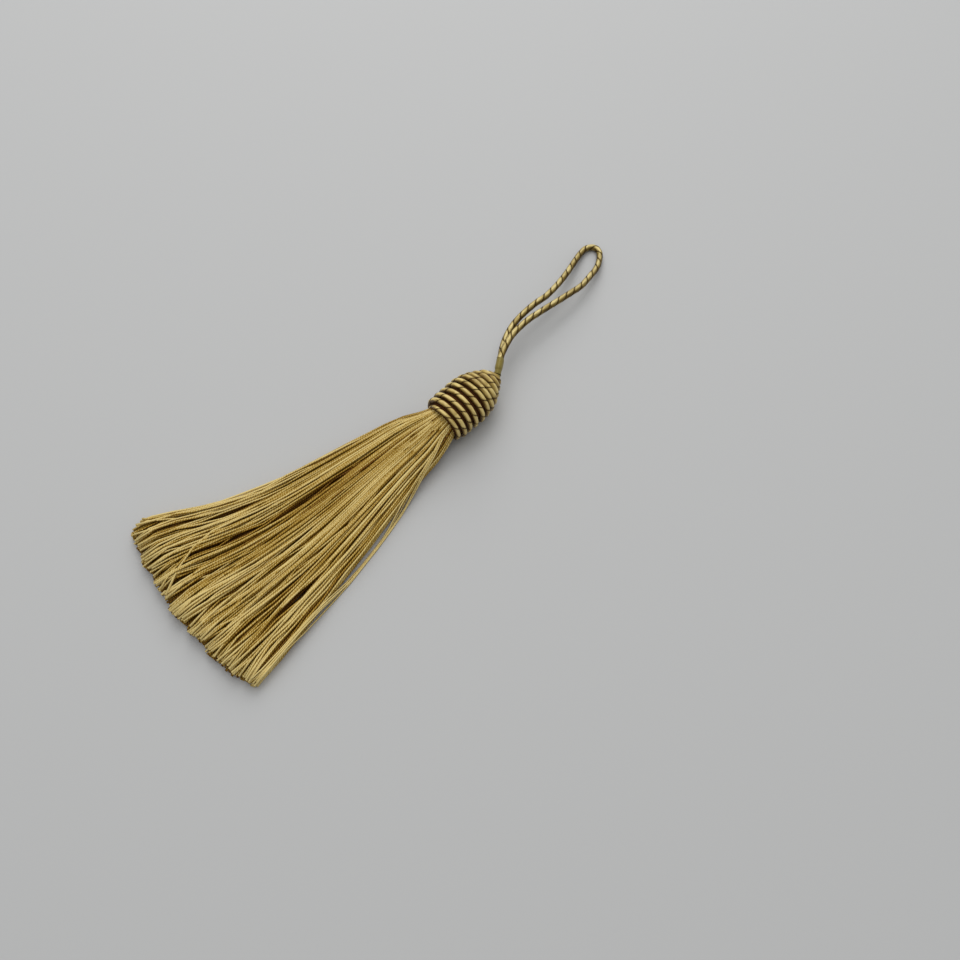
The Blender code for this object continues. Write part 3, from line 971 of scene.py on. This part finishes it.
# How dark a strand is painted, from bright (0) to deep (1): each one's own tone, which comes and
# goes slowly along it and differs more near the mouth, painted shade on its sides, painted shade
# where the strands over and under it hide it, and painted light at the cut end.
TONE = 0.135
TONE_SPREAD = 0.14
TONE_LIMITS = (-0.15, 0.55)
FADING = 0.15
FADING_LENGTHS = (14, 40)
MOUTH_CONTRAST = 0.19
MOUTH_CONTRAST_START = 1.1
MOUTH_CONTRAST_LENGTH = 42
SIDE_SHADE = 0.32
MOUTH_SIDE_SHADE = 0.20
MOUTH_SIDE_LENGTH = 40
HIDING_REACH = 1.2
HIDING_RISE = 0.3
HIDING_LEAST = 0.05
HIDDEN_SHADE = 1.05
UNDER_SHADE = 0.7
OPEN_END_FROM = 71
OPEN_END_OVER = 7.4
OPEN_END_LIGHT = 0.42
SHADE_LIMITS = (-0.2, 1)
chance = np.random.default_rng(11)


def fan_at(length):
    """The fan's edges, underside, thickness, spacing and strand radius at a length along it."""
    table = np.array(FAN)
    return [np.interp(length, table[:, 0], table[:, k]) for k in range(1, 7)]


def bell(off, reach):
    """A bell curve of a distance: 1 at nothing, and near nothing at twice the reach."""
    return np.exp(-((off / reach) ** 2))


def drift(share, length, waves):
    """How far a strand is drawn aside at a share of the fan's width: a sum of slow sine waves
    across the fan whose crests wander along it, so that strands gather and part again."""
    across, along, start, size = waves
    grow = np.clip(length / WAVE_GROWTH, 0, 1)
    angle = 2 * math.pi * (share[:, None] * across + length / SKIRT_LENGTH * along + start)
    return grow * (size * np.sin(angle)).sum(axis=1)


def parted(share, length, width):
    """How far the partings draw a strand aside: away from each one's middle line by its half gap,
    less by a bell curve of the distance along the fan and by another of the distance across it."""
    middle, reach, place, gap = np.array(PARTINGS).T
    off = share[:, None] - place
    opened = PARTING_PULL * gap / width * bell(length - middle, reach)
    return (opened * np.tanh(off / PARTING_EDGE) * bell(off, PARTING_FADE)).sum(axis=1)


def patch_shade(share, length):
    """How much painted shade a strand gets, and painted light where it is negative: for each patch,
    a bell curve of the distance along the fan times another of the distance across it."""
    middle, reach, place, wide, darker = np.array(SHADE_PATCHES).T
    along = bell(length[..., None] - middle, reach)
    return (darker * along * bell(share[..., None] - place, wide)).sum(axis=-1)


def push_apart(y, z, spacing):
    """Moves every two strands that are too close away from each other by a share of what they lack.
    A strand's distance from itself is made too long to count."""
    across = y[:, None] - y[None, :]
    up = z[:, None] - z[None, :]
    distance = np.hypot(across, up) + np.eye(len(y)) * FAR_OFF
    lack = np.clip(spacing - distance, 0, None) / distance * PUSH
    return y + (lack * across).sum(axis=1), z + (lack * up).sum(axis=1)


def settled_strands(lengths):
    """Lays the strands out from the round bundle to the cut end. In the bundle each is a golden
    angle round from the last, at a distance that grows as the square root of its number. Every
    short step each strand is drawn to its own share of the fan's width, sinks with the fan, and is
    pushed clear of its neighbours. The upper strands are drawn into bundles and parted, and the
    lowest ones stay spread."""
    number = np.arange(STRANDS)
    ring = BUNDLE_RADIUS * np.sqrt((number + 0.5) / STRANDS)
    angle = number * math.pi * (3 - math.sqrt(5))
    y = ring * np.cos(angle)
    z = AXIS_HEIGHT / MM + ring * np.sin(angle)
    order = np.argsort(np.argsort(y)) / (STRANDS - 1)
    layer = np.argsort(np.argsort(z)) / (STRANDS - 1)
    upper = np.clip((layer - LOOSE_FROM) / LOOSE_OVER, 0, 1)
    loose = LOOSE_LEAST + (1 - LOOSE_LEAST) * upper
    first_share = y / (2 * BUNDLE_RADIUS) + 0.5
    bold = np.where(chance.random(STRANDS) < BOLD_SHARE, BOLD_TIMES, 1)
    wander = chance.normal(0, WANDER, STRANDS) * bold * loose
    sway = chance.normal(0, SWAY, (STRANDS, len(SWAY_WAVES))) * loose[:, None]
    sway_start = chance.random((STRANDS, len(SWAY_WAVES)))
    across = np.exp(chance.uniform(*map(math.log, WAVES_ACROSS), BUNDLE_WAVES))
    along = chance.uniform(*WAVES_ALONG, BUNDLE_WAVES)
    steepness = chance.uniform(*STEEPNESS, BUNDLE_WAVES)
    wave_start = chance.random(BUNDLE_WAVES)
    waves = (across, along, wave_start, steepness / (2 * math.pi * across))
    _, _, under_before, thick_before, _, _ = fan_at(lengths[0])
    ys, zs = [y], [z]
    for length in lengths[1:]:
        left, right, under, thick, spacing, _ = fan_at(length)
        opened = min(1.0, length / OPENED_LENGTH)
        share = first_share + (order - first_share) * opened * (2 - opened)
        share = share + wander * (length / SKIRT_LENGTH) ** WANDER_POWER
        turning = 2 * math.pi * (sway_start + length / SKIRT_LENGTH * np.array(SWAY_WAVES))
        share = share + (sway * np.sin(turning)).sum(axis=1) * opened
        share = share + drift(share, length, waves) * loose
        share = share + parted(share, length, left - right) * loose
        target = right + np.clip(share, EDGE_SHARE, 1 - EDGE_SHARE) * (left - right)
        y = y + (target - y) * (NEAR_PULL if length < NEAR_LENGTH else FAR_PULL)
        z = under + (z - under_before) / thick_before * thick
        for _ in range(SETTLE_ROUNDS):
            y, z = push_apart(y, z, spacing)
            y = np.clip(y, right, left)
            drop = EDGE_DROP * np.exp(-np.minimum(left - y, y - right))
            z = np.clip(z, under + spacing / 2, under + thick + CROWN_RISE - drop)
        under_before, thick_before = under, thick
        ys.append(y)
        zs.append(z)
    return np.array(ys), np.array(zs)


def skin_height(at, y, z, reach, rise):
    """The height of the fan's skin over each place: the highest of the strands within reach, each
    taken as a round hump of that rise. Where none is within reach it is far below."""
    off = (at[:, None] - y[None, :]) / reach
    hump = z[None, :] + rise * np.sqrt(np.clip(1 - off**2, 0, 1))
    return np.where(abs(off) < 1, hump, FAR_BELOW).max(axis=1)


def evened(columns):
    """Each column averaged over a few neighbours either side. Past its end a column goes on as
    itself turned half round its last point, which leaves that point where it was."""
    reach = EVENED_REACH
    longer = np.pad(columns, ((reach, reach), (0, 0)), mode="reflect", reflect_type="odd")
    return np.mean([longer[k : k + len(columns)] for k in range(2 * reach + 1)], axis=0)


def stray_paths(lengths, ys, zs):
    """Strands that lie on top of the others and cross them: each goes from its own share of the
    width to another one, after a certain length, and rests on the skin below it. All come out of
    the top of the round bundle."""
    left, right, under, _, _, radius = (part[:, None] for part in fan_at(lengths))
    first = chance.uniform(*STRAY_STARTS, STRAYS)
    step = chance.choice([-1, 1], STRAYS) * chance.uniform(*STRAY_STEPS, STRAYS)
    begin = chance.uniform(*STRAY_BENDS, STRAYS)
    part = np.clip((lengths[:, None] - begin) / (SKIRT_LENGTH - begin), 0, 1)
    share = np.clip(first + step * part**STRAY_POWER, *STRAY_LIMITS)
    chosen = np.stack([np.interp(lengths, STRAY_LENGTHS, run) for run in STRAY_RUNS], axis=1)
    share = np.concatenate([share, evened(chosen)], axis=1)
    y = right + share * (left - right)
    skin = [skin_height(at, *below, SKIN_REACH, SKIN_RISE) for at, *below in zip(y, ys, zs)]
    z = evened(np.maximum(np.stack(skin), under + radius))
    root_turn = np.arcsin(np.clip(share[0] * 2 - 1, -1, 1))
    root_y = STRAY_ROOT * BUNDLE_RADIUS * np.sin(root_turn)
    root_z = AXIS_HEIGHT / MM + STRAY_ROOT * BUNDLE_RADIUS * np.cos(root_turn)
    free = np.clip(lengths / STRAY_FREE, 0, 1)[:, None]
    return root_y + (y - root_y) * free, root_z + (z - root_z) * free


def hidden_shares(y, z):
    """How far each strand's top and its underside are hidden by the others: the lesser of how far
    the skin lies beyond it on that side and how far it does on the more open of its two flanks."""
    ways = ((y, z), (y, -z), (z, y), (z, -y))
    above, beneath, left_of, right_of = (
        skin_height(a, a, b, HIDING_REACH, HIDING_RISE) - b - HIDING_RISE for a, b in ways
    )
    beside = np.minimum(left_of, right_of)
    depth = np.stack([np.minimum(above, beside), np.minimum(beneath, beside)], axis=1)
    return np.clip(depth / HIDING_REACH - HIDING_LEAST, 0, 1)


strand_gold = silk(
    "strand_gold",
    bright=(0.785, 0.615, 0.250),
    middle=(0.41, 0.246, 0.026),
    deep=(0.12, 0.038, 0.002),
    roughness=0.45,
    streak=0.30 * MM,
    stretch=3,
    bump=0.8,
    twist=0.55 * MM,
    sheen=0.0,
    specular=0.12,
)

lengths = np.append(np.arange(ROOT_LENGTH, SKIRT_LENGTH, SETTLE_STEP), SKIRT_LENGTH)
settled_y, settled_z = settled_strands(lengths)
stray_y, stray_z = stray_paths(lengths, settled_y, settled_z)
on_top = stray_y.shape[1]
count = STRANDS + on_top
buried = np.array([hidden_shares(y, z) for y, z in zip(settled_y, settled_z)])
buried = np.concatenate([buried, np.zeros((len(lengths), on_top, 2))], axis=1)
every_y = evened(np.concatenate([settled_y, stray_y], axis=1))
every_z = evened(np.concatenate([settled_z, stray_z], axis=1))

stations = np.tile(np.array(STRAND_STATIONS), (count, 1))
stations[:, 1:-1] += chance.uniform(*STATION_SHIFT, (count, 1)) * np.diff(STRAND_STATIONS)[1:]
strand_y, strand_z, over, below = (
    np.stack([np.interp(stations[k], lengths, table[:, k]) for k in range(count)])
    for table in (every_y, every_z, buried[..., 0], buried[..., 1])
)
strand_radius = fan_at(stations)[5]
strand_radius[STRANDS:] *= STRAY_RADIUS / strand_radius[0, -1]
strand_radius[-EDGE_STRAYS:] *= EDGE_STRAY_RADIUS / STRAY_RADIUS
strand_radius *= chance.uniform(*RADIUS_SHARES, (count, 1))
aside = (strand_y[:, -1:] - strand_y[:, -1:].mean()) / np.ptp(strand_y[:, -1]) * 2
left_cut, right_cut = (cut * abs(aside) ** p for cut, p in zip(CORNER_CUTS, CORNER_POWERS))
corner_cut = np.where(aside > 0, left_cut, right_cut)
corner_cut = corner_cut - CORNER_REACH * bell(aside - CORNER_PLACE, CORNER_WIDTH)
slow, quick = END_WAVES
uneven = END_WAVE * (np.sin(slow * aside + END_WAVE_START) + np.sin(quick * aside))
stations[:, -1:] += chance.uniform(*END_SHIFT, (count, 1)) + uneven - corner_cut
lean = np.clip((strand_y - strand_y[:, :1]) / stations, -MOST_LEAN, MOST_LEAN)
strand_x = FAN_X - stations * np.sqrt(1 - lean**2)
strand_x[:, 0] = TUCKED_ROOT_X
strand_z = np.maximum(strand_z, strand_radius)
strand_path = np.stack([strand_x, strand_y, strand_z], axis=-1) * MM
_, strand_side, strand_rise = cross_directions(strand_path)
strand_grid = tube_grid(
    strand_path, strand_side, strand_rise, strand_radius[..., None] * MM, STRAND_SIDES
)
strand_grid[..., 2] = np.maximum(strand_grid[..., 2], 0)

rings = len(STRAND_STATIONS)
starts = np.arange(count) * rings * STRAND_SIDES
strand_quads = starts[:, None, None] + tube_faces(rings, STRAND_SIDES)
first_ends, last_ends = tube_ends(rings, STRAND_SIDES, starts[:, None])
one_map = tube_map(np.array(STRAND_STATIONS) * MM, STRAND_SIDES, STRAND_GIRTH)
strand_map = np.tile(one_map, (count, 1, 1, 1))
strand_map[..., 1] += chance.random(count)[:, None, None] * STRAND_MAP_SHIFT

tone = np.clip(chance.normal(TONE, TONE_SPREAD, count), *TONE_LIMITS)
tone[-EDGE_STRAYS:] = TONE_LIMITS[0]
fading = chance.random((count, 1)) + stations / chance.uniform(*FADING_LENGTHS, (count, 1))
tone = tone[:, None] + FADING * np.sin(2 * math.pi * fading)
at_root = np.clip(MOUTH_CONTRAST_START - stations / MOUTH_CONTRAST_LENGTH, 0, 1)
tone = tone + chance.normal(0, MOUTH_CONTRAST, (count, 1)) * at_root
left_edge, right_edge = fan_at(stations)[:2]
# The patches of painted shade and painted light are added to the strand's own tone.
tone = tone + patch_shade((strand_y - right_edge) / (left_edge - right_edge), stations)
turn = ring_turns(STRAND_SIDES)
upward = 0.5 + 0.5 * np.sin(turn)
# Painted shade on each strand's sides, where it lies against its neighbours, more of it near the
# mouth.
side_shade = SIDE_SHADE + MOUTH_SIDE_SHADE * np.clip(1 - stations / MOUTH_SIDE_LENGTH, 0, 1)
strand_flank_shade = side_shade[..., None] * np.cos(turn) ** 2
# Painted light at the open cut end, and painted shade where other strands hide a strand's top or
# its underside.
open_end = np.clip((stations - OPEN_END_FROM) / OPEN_END_OVER, 0, 1)[..., None]
covered = over[..., None] * upward + UNDER_SHADE * below[..., None] * (1 - upward)
strand_shade = tone[..., None] + strand_flank_shade + HIDDEN_SHADE * covered - OPEN_END_LIGHT * open_end
skirt = add_piece(
    "skirt_strands",
    strand_grid.reshape(-1, 3),
    strand_quads.reshape(-1, 4),
    (*first_ends, *last_ends),
    strand_map.reshape(-1, 4, 2),
    np.clip(strand_shade, *SHADE_LIMITS),
    strand_gold,
)
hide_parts("skirt")
